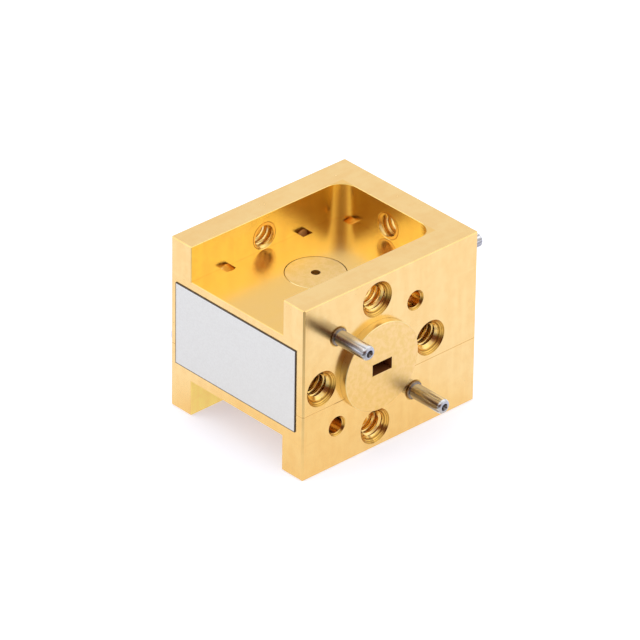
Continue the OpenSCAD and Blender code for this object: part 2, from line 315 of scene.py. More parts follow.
def mix_colour(tree, factor, first, second):
    """Two colours mixed by a factor."""
    return add(tree, "ShaderNodeMix", {0: factor, 6: first, 7: second}, data_type="RGBA").outputs[2]


def group_tree(name, inputs, outputs):
    """A shader node group with named sockets. Returns the tree and the nodes that hold them."""
    tree = bpy.data.node_groups.new(name, "ShaderNodeTree")
    for socket_name, default in inputs.items():
        kind = "NodeSocketVector" if default is None else "NodeSocketFloat"
        socket = tree.interface.new_socket(socket_name, in_out="INPUT", socket_type=kind)
        if default is not None:
            socket.default_value = default
    for socket_name in outputs:
        tree.interface.new_socket(socket_name, in_out="OUTPUT", socket_type="NodeSocketFloat")
    return tree, add(tree, "NodeGroupInput").outputs, add(tree, "NodeGroupOutput").inputs


def use(tree, group, **inputs):
    """The outputs of a node group that is placed in a material with its inputs set."""
    named = {name.replace("_", " "): value for name, value in inputs.items()}
    return add(tree, "ShaderNodeGroup", named, node_tree=GROUPS[group]).outputs


# Node groups: effects that several finishes share, and masks of the housing and the label

def machined_grain():
    """Fine marks that the cutter leaves along Z, or along Y on a level face, and fainter broad streaks."""
    inputs = {"Position": None, "Marks": 7.0, "Length": 0.9, "Level": 0.0}
    tree, given, result = group_tree("machined_grain", inputs, ("Height", "Streak"))
    slow = maths(tree, "DIVIDE", 1.0, given["Length"])
    change = maths(tree, "MULTIPLY", given["Level"], maths(tree, "SUBTRACT", given["Marks"], slow))
    along_y = maths(tree, "SUBTRACT", given["Marks"], change)
    along_z = maths(tree, "ADD", slow, change)
    stretch = join(tree, given["Marks"], along_y, along_z)
    stretched = vector_maths(tree, "MULTIPLY", given["Position"], stretch)
    fine = noise(tree, stretched, 1.0, detail=3.0, roughness=0.65)
    broad = noise(tree, stretched, 0.16)
    connect(tree, result, Height=mix_value(tree, 0.25, fine, broad), Streak=broad)
    return tree


def plating_mottle():
    """Slow uneven patches of a plated surface, about 0 on average."""
    tree, given, result = group_tree("plating_mottle", {"Position": None, "Size": 1.5}, ("Shift",))
    scale = maths(tree, "DIVIDE", 1.0, given["Size"])
    patches = noise(tree, given["Position"], scale, detail=4.0, roughness=0.6, distortion=0.3)
    connect(tree, result, Shift=maths(tree, "SUBTRACT", patches, 0.5))
    return tree


def turned_rings():
    """Rings of a lathe tool on the face and the side of what was turned about the local Z axis."""
    tree, given, result = group_tree("turned_rings", {"Position": None, "Pitch": 0.08}, ("Height", "Radius"))
    radius = measure(tree, "LENGTH", vector_maths(tree, "MULTIPLY", given["Position"], (1.0, 1.0, 0.0)))
    path = maths(tree, "ADD", radius, split(tree, given["Position"])["Z"])
    turns = maths(tree, "DIVIDE", path, given["Pitch"])
    connect(tree, result, Height=line_noise(tree, turns, detail=2.0, roughness=0.6), Radius=radius)
    return tree


def handling_scuffs():
    """Sparse hairline scratches in two directions, kept to a few patches."""
    tree, given, result = group_tree("handling_scuffs", {"Position": None, "Width": 0.03}, ("Mask",))
    across = maths(tree, "DIVIDE", 0.5, given["Width"])
    stretch = join(tree, across, 0.35, across)
    lines = []
    for angles in ((0.3, 0.5, 0.9), (1.2, -0.4, 2.1)):
        stretched = vector_maths(tree, "MULTIPLY", turn(tree, given["Position"], angles), stretch)
        lines.append(ramp(tree, noise(tree, stretched, 0.25, detail=0.0), 0.80, 0.86))
    patches = ramp(tree, noise(tree, given["Position"], 0.45, detail=1.0), 0.50, 0.62)
    connect(tree, result, Mask=maths(tree, "MULTIPLY", largest(tree, *lines), patches))
    return tree


def plating_specks():
    """Tiny pits and grains of dust, in a share of the cells of a random pattern."""
    inputs = {"Position": None, "Spacing": 0.7, "Share": 0.25, "Radius": 0.06}
    tree, given, result = group_tree("plating_specks", inputs, ("Mask",))
    scale = maths(tree, "DIVIDE", 1.0, given["Spacing"])
    pattern = {"Vector": given["Position"], "Scale": scale, "Randomness": 1.0}
    cells = add(tree, "ShaderNodeTexVoronoi", pattern)
    reach = maths(tree, "DIVIDE", given["Radius"], given["Spacing"])
    dot = maths(tree, "LESS_THAN", cells.outputs["Distance"], reach)
    pick = add(tree, "ShaderNodeSeparateColor", {"Color": cells.outputs["Color"]}).outputs["Red"]
    chosen = maths(tree, "LESS_THAN", pick, given["Share"])
    connect(tree, result, Mask=maths(tree, "MULTIPLY", dot, chosen))
    return tree


def pocket_mask():
    """1 on the floor, roof and walls of the two pockets, and 0 on the rest of the housing."""
    inputs = {"Position": None, "Half Width": POCKET_HALF_WIDTH, "Back": POCKET_BACK,
              "Floor": POCKET_FLOOR, "Roof": POCKET_ROOF}
    tree, given, result = group_tree("pocket_mask", inputs, ("Mask",))
    place = split(tree, given["Position"])
    across = maths(tree, "LESS_THAN", maths(tree, "ABSOLUTE", place["X"]), given["Half Width"])
    along = maths(tree, "LESS_THAN", place["Y"], given["Back"])
    above = maths(tree, "GREATER_THAN", place["Z"], given["Floor"])
    below = maths(tree, "LESS_THAN", place["Z"], given["Roof"])
    inside = maths(tree, "MULTIPLY", across, along)
    connect(tree, result, Mask=maths(tree, "MULTIPLY", inside, largest(tree, above, below)))
    return tree


def hole_mouths():
    """1 inside the holes of the three flanges, and the distance from the axis of the hole."""
    inputs = {"Position": None, "Side Limit": POCKET_HALF_WIDTH, "Back Limit": POCKET_BACK,
              "Bolt Radius": BOLT_RADIUS, "Tap Radius": TAP_MOUTH_RADIUS, "Align Radius": ALIGN_MOUTH_RADIUS}
    tree, given, result = group_tree("hole_mouths", inputs, ("Mask", "Radius"))
    centre = Vector(MOUNTS["port_1_flange"]["pos_m"]) / MM
    moved = vector_maths(tree, "SUBTRACT", given["Position"], (0, centre.y, centre.z))
    away = split(tree, vector_maths(tree, "ABSOLUTE", moved))
    place = split(tree, given["Position"])
    in_side = maths(tree, "GREATER_THAN", maths(tree, "ABSOLUTE", place["X"]), given["Side Limit"])
    in_back = maths(tree, "GREATER_THAN", place["Y"], given["Back Limit"])
    diagonal = maths(tree, "DIVIDE", given["Bolt Radius"], math.sqrt(2))
    tapped = (given["Bolt Radius"], 0.0, given["Tap Radius"])
    aligned = (diagonal, diagonal, given["Align Radius"])
    masks, radii = [], []
    for across, in_wall in ((away["Y"], in_side), (away["X"], in_back)):
        longer = maths(tree, "MAXIMUM", across, away["Z"])
        shorter = maths(tree, "MINIMUM", across, away["Z"])
        for longer_place, shorter_place, mouth in (tapped, aligned):
            offset = join(tree, maths(tree, "SUBTRACT", longer, longer_place),
                          maths(tree, "SUBTRACT", shorter, shorter_place))
            radius = measure(tree, "LENGTH", offset)
            here = maths(tree, "MULTIPLY", in_wall, maths(tree, "LESS_THAN", radius, mouth))
            masks.append(here)
            radii.append(maths(tree, "MULTIPLY", here, radius))
    connect(tree, result, Mask=largest(tree, *masks), Radius=largest(tree, *radii))
    return tree


def edge_line():
    """1 on the border line of a rectangle in X and Z, whose middle is the local origin."""
    inputs = {"Position": None, "Half Width": 8.0, "Half Height": 4.0, "Line": 0.12}
    tree, given, result = group_tree("edge_line", inputs, ("Mask",))
    place = split(tree, given["Position"])
    past_x = maths(tree, "SUBTRACT", maths(tree, "ABSOLUTE", place["X"]), given["Half Width"])
    past_z = maths(tree, "SUBTRACT", maths(tree, "ABSOLUTE", place["Z"]), given["Half Height"])
    inner_edge = maths(tree, "MULTIPLY", given["Line"], -1.0)
    connect(tree, result, Mask=maths(tree, "GREATER_THAN", largest(tree, past_x, past_z), inner_edge))
    return tree


GROUP_BUILDERS = (machined_grain, plating_mottle, turned_rings, handling_scuffs,
                  plating_specks, pocket_mask, hole_mouths, edge_line)
GROUPS = {build.__name__: build() for build in GROUP_BUILDERS}


# Materials

def new_material(name, **plain):
    """A material with its plain values set. Returns it, its tree, its shader and the position in mm."""
    material = bpy.data.materials.new(name)
    material.use_nodes = True
    tree = material.node_tree
    shader = tree.nodes["Principled BSDF"]
    for key, value in plain.items():
        shader.inputs[key.replace("_", " ")].default_value = value
    coordinates = add(tree, "ShaderNodeTexCoord").outputs["Object"]
    position = add(tree, "ShaderNodeVectorMath", {0: coordinates, "Scale": 1 / MM}, operation="SCALE")
    return material, tree, shader, position.outputs[0]


def bump(tree, shader, height, distance):
    """Turns a height into the shader's normal. A height of 1 stands out by the distance in mm."""
    raised = add(tree, "ShaderNodeBump", {"Height": height, "Distance": distance * MM})
    connect(tree, shader.inputs, Normal=raised.outputs["Normal"])


def level_faces(tree, position):
    """1 on the level faces of the housing, and 1 on its top face alone."""
    height = split(tree, position)["Z"]
    base, roof, floor, top = [near(tree, height, plane, LEVEL_REACH)
                              for plane in (0.0, POCKET_ROOF, POCKET_FLOOR, TOP_FACE)]
    return largest(tree, base, roof, floor, top), top


def hole_colour(tree, holes, rings):
    """Gold deepened by painted shade, with brown cutter lines, in the mouths of the holes, and plainer gold
    in the narrow bores.
    """
    lined = mix_colour(tree, ramp(tree, rings, 0.42, 0.60, to_high=0.85), SHADED_HOLE_GOLD, CUTTER_LINE)
    in_bore = maths(tree, "LESS_THAN", holes["Radius"], ALIGN_BORE_RADIUS)
    return mix_colour(tree, in_bore, lined, BORE_GOLD)


def housing_gold():
    """Satin gold over milled brass, smoother and more mirror-like in the pockets."""
    material, tree, shader, position = new_material("housing_gold", Metallic=1.0)
    level, top = level_faces(tree, position)
    pocket = use(tree, "pocket_mask", Position=position)["Mask"]
    holes = use(tree, "hole_mouths", Position=position)
    rings = line_noise(tree, maths(tree, "DIVIDE", holes["Radius"], CUTTER_PITCH), detail=1.0)
    grain = use(tree, "machined_grain", Position=position, Level=level)
    mottle = use(tree, "plating_mottle", Position=position, Size=1.1)["Shift"]
    specks = use(tree, "plating_specks", Position=position, Share=0.04, Radius=0.045)["Mask"]
    scratches = use(tree, "handling_scuffs", Position=position)["Mask"]
    scuffs = maths(tree, "MULTIPLY", scratches, maths(tree, "SUBTRACT", 1.0, pocket))

    plating = mix_colour(tree, pocket, GOLD, mix_colour(tree, level, POCKET_GOLD, FLOOR_GOLD))
    uneven = ramp(tree, scaled(tree, mottle, 1.1, grain["Streak"]), 0.2, 0.8, to_high=0.7)
    shade = maths(tree, "MULTIPLY", uneven, mix_value(tree, pocket, 1.0, 0.45))
    shaded = mix_colour(tree, shade, plating, DEEP_GOLD)
    dusty = mix_colour(tree, scaled(tree, specks, 0.45), shaded, DUST)
    # The hole mouths get the deeper gold, a painted shade
    drilled = mix_colour(tree, holes["Mask"], dusty, hole_colour(tree, holes, rings))
    # The seam is painted darker, for dirt and for painted shade in the gap between the blocks
    from_seam = distance_from(tree, split(tree, position)["Z"], SEAM_HEIGHT)
    seam = ramp(tree, from_seam, SEAM_CORE, SEAM_REACH, to_low=1.0, to_high=0.0)
    colour = mix_colour(tree, seam, drilled, SEAM_DIRT_AND_SHADE)

    outer_satin = scaled(tree, grain["Height"], 0.14, plus=0.14)
    inner_satin = scaled(tree, mottle, 0.10, plus=0.22)
    satin = mix_value(tree, pocket, outer_satin, inner_satin)
    roughness = scaled(tree, scuffs, 0.12, satin)
    metal = mix_value(tree, top, 1.0, 0.65)
    connect(tree, shader.inputs, Base_Color=colour, Roughness=roughness, Metallic=metal)

    swell = maths(tree, "MULTIPLY", mottle, mix_value(tree, pocket, 1.4, 0.7))
    cutter = maths(tree, "MULTIPLY", grain["Height"], mix_value(tree, pocket, 1.0, 0.4))
    milled = scaled(tree, scuffs, -0.6, maths(tree, "ADD", swell, cutter))
    turned = maths(tree, "MULTIPLY", holes["Mask"], rings)
    bump(tree, shader, scaled(tree, turned, 14.0, milled), 0.0022)
    return material


def turned_position(tree, position, centre, axis):
    """The position in mm, seen from the centre of a turned piece with its axis along Z."""
    moved = vector_maths(tree, "SUBTRACT", position, centre / MM)
    return turn(tree, moved, axis.to_track_quat("Z", "Y").inverted().to_euler())


def turned_gold(name, centre, axis, rim, mouth_reach=0.0):
    """Gold over a turned piece, with tool rings about its axis, a painted highlight on its rim and side, and
    a painted red-brown reflection in its waveguide mouth.
    """
    material, tree, shader, position = new_material(name, Metallic=1.0)
    local = turned_position(tree, position, centre, axis)
    turned = use(tree, "turned_rings", Position=local)
    mottle = use(tree, "plating_mottle", Position=position, Size=0.55)["Shift"]
    specks = use(tree, "plating_specks", Position=position, Share=0.16, Radius=0.05)["Mask"]
    # Inside the waveguide's mouth a dull red-brown is painted, a painted reflection of the gold deep inside
    behind = maths(tree, "LESS_THAN", split(tree, local)["Z"], MOUTH_START)
    mouth = maths(tree, "MULTIPLY", behind, maths(tree, "LESS_THAN", turned["Radius"], mouth_reach))

    shade = ramp(tree, scaled(tree, turned["Height"], 0.3, mottle), 0.0, 0.30)
    shaded = mix_colour(tree, shade, TURNED_GOLD, TURNED_SHADE)
    # The side and the outer rim are painted paler, a painted highlight
    rim_highlight = ramp(tree, turned["Radius"], rim - 0.08, rim - 0.03)
    highlighted = mix_colour(tree, rim_highlight, shaded, RIM_HIGHLIGHT_GOLD)
    dusty = mix_colour(tree, scaled(tree, specks, 0.5), highlighted, DUST)
    colour = mix_colour(tree, mouth, dusty, MOUTH_REFLECTION_RED)
    roughness = scaled(tree, turned["Height"], 0.12, plus=0.26)
    metal = mix_value(tree, mouth, 1.0, 0.25)
    connect(tree, shader.inputs, Base_Color=colour, Roughness=roughness, Metallic=metal)
    bump(tree, shader, scaled(tree, mottle, 2.6, turned["Height"]), 0.0022)
    return material


def thread_gold():
    """Brighter gold on the flanks of the threads."""
    material, tree, shader, position = new_material("thread_gold", Metallic=1.0)
    mottle = use(tree, "plating_mottle", Position=position, Size=0.35)["Shift"]
    colour = mix_colour(tree, ramp(tree, mottle, -0.2, 0.2), THREAD_GOLD, GOLD)
    connect(tree, shader.inputs, Base_Color=colour, Roughness=scaled(tree, mottle, 0.16, plus=0.20))
    bump(tree, shader, mottle, 0.004)
    return material


def fastener_steel():
    """Plain steel of the clamp screws and dowels, a little cloudy and with a few pits."""
    material, tree, shader, position = new_material("screw_steel_plain", Metallic=1.0)
    cloud = use(tree, "plating_mottle", Position=position, Size=0.3)["Shift"]
    pits = use(tree, "plating_specks", Position=position, Spacing=0.25, Share=0.15, Radius=0.03)["Mask"]
    clouded = ramp(tree, cloud, 0.05, 0.3, to_high=0.35)
    marks = largest(tree, scaled(tree, pits, 0.6), clouded)
    colour = mix_colour(tree, marks, SCREW_STEEL, SCREW_DARK)
    connect(tree, shader.inputs, Base_Color=colour, Roughness=scaled(tree, cloud, 0.18, plus=0.28))
    bump(tree, shader, cloud, 0.003)
    return material


def pin_shade_and_marks(tree, local, radius, clouded):
    """The mask of a pin's side, and its dark marks: random clouds, painted shade in the hole in its tip, and
    painted reflections as lines along it.
    """
    side = ramp(tree, radius, PIN_RADIUS - 0.12, PIN_RADIUS - 0.05)
    # Lines along the side, painted reflections of the dark things that the pin mirrors
    mirrored_streaks = noise(tree, vector_maths(tree, "MULTIPLY", local, (2.9, 2.9, 0.12)), 1.0)
    lines = maths(tree, "MULTIPLY", side, ramp(tree, mirrored_streaks, 0.46, 0.60, to_high=0.72))
    # The hole in the tip is painted dark, a painted shade
    centre = ramp(tree, radius, CENTRE_HOLE_RADIUS - 0.03, CENTRE_HOLE_RADIUS, to_low=0.75, to_high=0.0)
    at_tip = maths(tree, "GREATER_THAN", split(tree, local)["Z"], 0.0)
    tip_hole_shade = maths(tree, "MULTIPLY", centre, at_tip)
    return side, largest(tree, lines, tip_hole_shade, clouded)


def turned_steel(name, centre, axis):
    """Steel that smears what it mirrors along the pin, with a painted highlight paler towards the tip and a
    painted orange-brown reflection of the gold at its inner end.
    """
    material, tree, shader, position = new_material(name, Metallic=1.0, Anisotropic=0.88,
                                                    Anisotropic_Rotation=0.25)
    local = turned_position(tree, position, centre, axis)
    along = split(tree, local)["Z"]
    rings = use(tree, "turned_rings", Position=local, Pitch=0.4)
    cloud = use(tree, "plating_mottle", Position=position, Size=0.5)["Shift"]
    uneven = maths(tree, "ADD", cloud, rings["Height"])
    side, marks = pin_shade_and_marks(tree, local, rings["Radius"], ramp(tree, uneven, 0.5, 0.9, to_high=0.25))
    # The collar gets the dark brown, a painted shade and painted reflection
    collar = ramp(tree, rings["Radius"], PIN_RADIUS + 0.01, PIN_RADIUS + 0.05)
    # Paler towards the tip, a painted highlight
    tip_highlight = maths(tree, "MULTIPLY", ramp(tree, along, -0.4, 1.1), side)
    # The inner end, seen in the pocket's groove, is painted orange-brown, a painted reflection of the gold
    # around it
    painted_inner_end = maths(tree, "LESS_THAN", along, INNER_END_PLACE)

    steel = mix_colour(tree, tip_highlight, PIN_STEEL, TIP_HIGHLIGHT_STEEL)
    collar_shaded = mix_colour(tree, collar, steel, COLLAR_SHADE_BROWN)
    # Painted shade, painted reflections and random clouds darken the steel
    darkened = mix_colour(tree, marks, collar_shaded, PIN_SHADE_REFLECTION_AND_CLOUD)
    colour = mix_colour(tree, painted_inner_end, darkened, INNER_END_GOLD_REFLECTION)
    polish = scaled(tree, cloud, 0.10, plus=0.18)
    roughness = scaled(tree, painted_inner_end, 0.4, polish)
    metal = mix_value(tree, painted_inner_end, 0.97, 0.37)
    around = add(tree, "ShaderNodeTangent", direction_type="RADIAL", axis="Y" if abs(axis.y) > 0.5 else "X")
    connect(tree, shader.inputs, Base_Color=colour, Roughness=roughness, Metallic=metal,
            Tangent=around.outputs["Tangent"])
    bump(tree, shader, uneven, 0.0012)
    return material


def sintered_magnet():
    """Dull grey, grainy metal of a sintered magnet."""
    material, tree, shader, position = new_material("sintered_magnet", Metallic=1.0)
    grains = noise(tree, position, 9.0, detail=4.0, roughness=0.7)
    colour = mix_colour(tree, grains, MAGNET_GREY, MAGNET_DARK)
    connect(tree, shader.inputs, Base_Color=colour, Roughness=scaled(tree, grains, 0.25, plus=0.35))
    bump(tree, shader, grains, 0.01)
    return material


def ground_ferrite():
    """Dark ground ceramic with fine pores."""
    material, tree, shader, position = new_material("ground_ferrite", Roughness=0.4)
    pores = ramp(tree, noise(tree, position, 22.0, detail=3.0, roughness=0.7), 0.45, 0.7)
    connect(tree, shader.inputs, Base_Color=mix_colour(tree, pores, FERRITE_BLACK, FERRITE_PORE))
    bump(tree, shader, pores, 0.004)
    return material


def machined_plastic():
    """Milky low-loss plastic with faint tool marks."""
    material, tree, shader, position = new_material("machined_plastic", Subsurface_Weight=0.2,
                                                    Subsurface_Scale=0.6 * MM)
    grain = use(tree, "machined_grain", Position=position, Marks=14.0, Length=1.0)
    colour = mix_colour(tree, grain["Streak"], SPACER_WHITE, SPACER_SHADE)
    connect(tree, shader.inputs, Base_Color=colour, Roughness=scaled(tree, grain["Height"], 0.2, plus=0.35))
    bump(tree, shader, grain["Height"], 0.004)
    return material


def label_film():
    """Bare pale film with a thin printed line round its edge."""
    material, tree, shader, position = new_material("label_film")
    low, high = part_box("label")
    half = (high - low) / 2 / MM
    local = vector_maths(tree, "SUBTRACT", position, (low + high) / 2 / MM)
    line = use(tree, "edge_line", Position=local, Half_Width=half.x, Half_Height=half.z, Line=0.085)["Mask"]
    fibre = noise(tree, position, 5.0, detail=4.0, roughness=0.65)
    film = mix_colour(tree, ramp(tree, fibre, 0.35, 0.65, to_high=0.6), LABEL_WHITE, LABEL_SHADE)
    colour = mix_colour(tree, line, film, LABEL_LINE)
    connect(tree, shader.inputs, Base_Color=colour, Roughness=scaled(tree, fibre, 0.15, plus=0.38))
    bump(tree, shader, fibre, 0.004)
    return material


def dress(material, *nodes):
    """Gives CAD nodes their finish by their material slots."""
    for node in nodes:
        for slot in frame["nodes"][node].material_slots:
            slot.material = material


def dress_port(port):
    """The finish of a port's boss and of its two pins."""
    mouth = MOUNTS[f"port_{port}_waveguide"]
    low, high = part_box(f"port_{port}_boss")
    rim = (high - low).z / 2 / MM
    boss = turned_gold(f"boss_{port}_gold", Vector(mouth["pos_m"]), Vector(mouth["axis"]), rim, MOUTH_REACH)
    dress(boss, f"port_{port}_boss")
    for pin in (f"port_{port}_upper_pin", f"port_{port}_lower_pin"):
        end = MOUNTS[f"{pin}_end"]
        dress(turned_steel(f"{pin}_steel", Vector(end["pos_m"]), Vector(end["axis"])), pin)


def dress_nodes():
    """The finish of every CAD node."""
    dress(housing_gold(), "upper_block", "lower_block", "matching_pedestal")
    for port in PORTS:
        dress_port(port)
    low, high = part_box("upper_magnet_cover")
    cover = turned_gold("cover_gold", (low + high) / 2, UP, (high - low).x / 2 / MM)
    dress(cover, "upper_magnet_cover", "lower_magnet_cover")
    dress(sintered_magnet(), "upper_magnet", "lower_magnet")
    dress(ground_ferrite(), "ferrite_post")
    dress(machined_plastic(), "dielectric_spacer")
    dress(fastener_steel(), "block_screws", "block_dowels")
    dress(label_film(), "label")


# Threads of the tapped holes

def shape(tree, kind, inputs, **settings):
    """The geometry that a new node puts out."""
    return add(tree, kind, inputs, **settings).outputs[0]


def ridge_profile(tree, given, root_radius):
    """The section of a ridge, a trapezium with rounded corners, pointing at the axis of the hole."""
    height = maths(tree, "SUBTRACT", root_radius, given["Crest Radius"])
    base = maths(tree, "MULTIPLY", given["Pitch"], RIDGE_SHARE)
    flanks = maths(tree, "MULTIPLY", height, 2 * math.tan(RIDGE_HALF_ANGLE))
    crest = maths(tree, "SUBTRACT", base, flanks)
    sizes = {"Height": height, "Bottom Width": base, "Top Width": crest, "Offset": 0.0}
    section = shape(tree, "GeometryNodeCurvePrimitiveQuadrilateral", sizes, mode="TRAPEZOID")
    rounding = {"Curve": section, "Count": 1, "Radius": given["Rounding"]}
    rounded = shape(tree, "GeometryNodeFilletCurve", rounding, mode="POLY")
    return shape(tree, "GeometryNodeTransform", {"Geometry": rounded, "Rotation": (0, 0, math.radians(90))})


def thread_ridge(tree, given):
    """A right-hand ridge that winds down the hole, longer at both ends than the thread."""
    root_radius = maths(tree, "ADD", given["Bore Radius"], given["Sunk"])
    middle = scaled(tree, maths(tree, "ADD", root_radius, given["Crest Radius"]), 0.5)
    turns = maths(tree, "ADD", maths(tree, "DIVIDE", given["Depth"], given["Pitch"]), SPARE_TURNS)
    rise = maths(tree, "MULTIPLY", turns, given["Pitch"])
    winding = {"Resolution": TURN_STEPS, "Rotations": turns, "Start Radius": middle, "End Radius": middle,
               "Height": rise, "Reverse": True}
    helix = shape(tree, "GeometryNodeCurveSpiral", winding)
    start = join(tree, z=maths(tree, "SUBTRACT", given["Pitch"], rise))
    lowered = shape(tree, "GeometryNodeTransform", {"Geometry": helix, "Translation": start})
    upright = shape(tree, "GeometryNodeSetCurveNormal", {"Curve": lowered}, mode="Z_UP")
    sweep = {"Curve": upright, "Profile Curve": ridge_profile(tree, given, root_radius), "Fill Caps": True}
    return shape(tree, "GeometryNodeCurveToMesh", sweep)


def trimmed_ridge(tree, given):
    """The ridge, cut back to the cone of the hole's mouth and to the depth of the thread."""
    wide = maths(tree, "ADD", given["Mouth Radius"], CONE_HEIGHT - CONE_INSIDE)
    narrow = maths(tree, "SUBTRACT", given["Mouth Radius"], CONE_INSIDE)
    cone = shape(tree, "GeometryNodeMeshCone", {"Vertices": 64, "Radius Top": wide, "Radius Bottom": narrow,
                                                "Depth": CONE_HEIGHT})
    mouth = shape(tree, "GeometryNodeTransform", {"Geometry": cone, "Translation": (0, 0, -CONE_INSIDE)})
    plug = shape(tree, "GeometryNodeMeshCylinder", {"Vertices": 32, "Radius": given["Mouth Radius"],
                                                    "Depth": given["Depth"]})
    plug_place = join(tree, z=scaled(tree, given["Depth"], -1.5))
    below = shape(tree, "GeometryNodeTransform", {"Geometry": plug, "Translation": plug_place})
    ridge = thread_ridge(tree, given)
    for tool in (mouth, below):
        meshes = {0: ridge, 1: tool}
        ridge = shape(tree, "GeometryNodeMeshBoolean", meshes, operation="DIFFERENCE", solver="EXACT")
    return ridge


def thread_tree():
    """Geometry nodes that put the ridge of a thread on each point, along its outward vector."""
    tree = bpy.data.node_groups.new("tapped_thread", "GeometryNodeTree")
    tree.interface.new_socket("Geometry", in_out="INPUT", socket_type="NodeSocketGeometry")
    sizes = {"Bore Radius": TAP_RADIUS, "Crest Radius": TAP_CREST_RADIUS, "Mouth Radius": TAP_MOUTH_RADIUS,
             "Pitch": TAP_PITCH, "Depth": BLIND_THREAD, "Sunk": 0.01, "Rounding": 0.03}
    for name, value in sizes.items():
        tree.interface.new_socket(name, in_out="INPUT", socket_type="NodeSocketFloat").default_value = value
    tree.interface.new_socket("Finish", in_out="INPUT", socket_type="NodeSocketMaterial")
    tree.interface.new_socket("Geometry", in_out="OUTPUT", socket_type="NodeSocketGeometry")
    given = add(tree, "NodeGroupInput").outputs
    result = add(tree, "NodeGroupOutput").inputs
    outward = shape(tree, "GeometryNodeInputNamedAttribute", {"Name": "outward"}, data_type="FLOAT_VECTOR")
    facing = shape(tree, "FunctionNodeAlignRotationToVector", {"Vector": outward}, axis="Z")
    placing = {"Points": given["Geometry"], "Instance": trimmed_ridge(tree, given), "Rotation": facing,
               "Scale": (MM, MM, MM)}
    placed = shape(tree, "GeometryNodeInstanceOnPoints", placing)
    real = shape(tree, "GeometryNodeRealizeInstances", {"Geometry": placed})
    finished = shape(tree, "GeometryNodeSetMaterial", {"Geometry": real, "Material": given["Finish"]})
    connect(tree, result, Geometry=finished)
    return tree


def hole_places(port, angles):
    """The mouths of a port's tapped holes, at these angles on the bolt circle, with the way they face."""
    mount = MOUNTS[f"port_{port}_flange"]
    centre, outward = Vector(mount["pos_m"]), Vector(mount["axis"])
    right = UP.cross(outward)
    radius = BOLT_RADIUS * MM
    places = []
    for angle in map(math.radians, angles):
        mouth = centre + right * radius * math.cos(angle) + UP * radius * math.sin(angle)
        places.append((mouth, outward))
    return places


def tapped_threads(name, places, depth, tree, finish):
    """One mesh with the thread ridges of these holes, riding on the housing."""
    points = bpy.data.meshes.new(name)
    points.from_pydata([tuple(mouth) for mouth, _ in places], [], [])
    outward = points.attributes.new("outward", "FLOAT_VECTOR", "POINT")
    for entry, (_, way) in zip(outward.data, places):
        entry.vector = way
    carrier = bpy.data.objects.new(name, points)
    bpy.context.scene.collection.objects.link(carrier)
    modifier = carrier.modifiers.new("thread", "NODES")
    modifier.node_group = tree
    sockets = {item.name: item.identifier for item in tree.interface.items_tree if item.in_out == "INPUT"}
    modifier[sockets["Depth"]] = depth
    modifier[sockets["Finish"]] = finish
    depsgraph = bpy.context.evaluated_depsgraph_get()
    mesh = bpy.data.meshes.new_from_object(carrier.evaluated_get(depsgraph))
    carrier.modifiers.remove(modifier)
    carrier.data = mesh
    mesh.name = name
    mesh.shade_smooth()
    mesh.set_sharp_from_angle(angle=SHARP_ANGLE)
    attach(carrier, "root")


def thread_all_holes():
    """Threads in the twelve tapped holes: blind ones beside the waveguides, through ones above and below."""
    tree = thread_tree()
    finish = thread_gold()
    blind = [place for port in PORTS for place in hole_places(port, (0, 180))]
    through_side = [place for port in (1, 2) for place in hole_places(port, (90, 270))]
    through_back = hole_places(3, (90, 270))
    tapped_threads("blind_hole_threads", blind, BLIND_THREAD, tree, finish)
    tapped_threads("side_wall_threads", through_side, SIDE_WALL, tree, finish)
    tapped_threads("back_wall_threads", through_back, BACK_WALL, tree, finish)


# Studio and camera

def compass(azimuth, elevation):
    """The direction from the object to a viewer at this azimuth and elevation, in degrees."""
    turned, rise = math.radians(azimuth), math.radians(elevation)
    return Vector((math.sin(turned) * math.cos(rise), -math.cos(turned) * math.cos(rise), math.sin(rise)))


def photo_camera():
    """A long lens at the photograph's viewing angle."""
    back = compass(CAMERA_AZIMUTH, CAMERA_ELEVATION)
    level = compass(CAMERA_AZIMUTH + 90, 0)
    above = back.cross(level)
    roll = math.radians(CAMERA_ROLL)
    right = level * math.cos(roll) + above * math.sin(roll)
    up = above * math.cos(roll) - level * math.sin(roll)
    lens = bpy.data.cameras.new("photo_camera")
    lens.lens = CAMERA_LENS
    lens.sensor_width = 36
    lens.clip_start, lens.clip_end = 0.01, 20
    camera = bpy.data.objects.new("photo_camera", lens)
    bpy.context.scene.collection.objects.link(camera)
    turned = Matrix((right, up, back)).transposed().to_4x4()
    camera.matrix_world = Matrix.Translation(CAMERA_AIM + back * CAMERA_DISTANCE) @ turned
    bpy.context.scene.camera = camera


def white_world():
    """An even white surround."""
    world = bpy.data.worlds.new("white_surround")
    bpy.context.scene.world = world
    world.use_nodes = True
    world.node_tree.nodes["Background"].inputs["Color"].default_value = (1, 1, 1, 1)
    world.node_tree.nodes["Background"].inputs["Strength"].default_value = 1.0


def stage_material(name):
    """A material without a shader. Returns it, its tree and the position in mm."""
    material, tree, shader, position = new_material(name)
    tree.nodes.remove(shader)
    return material, tree, position


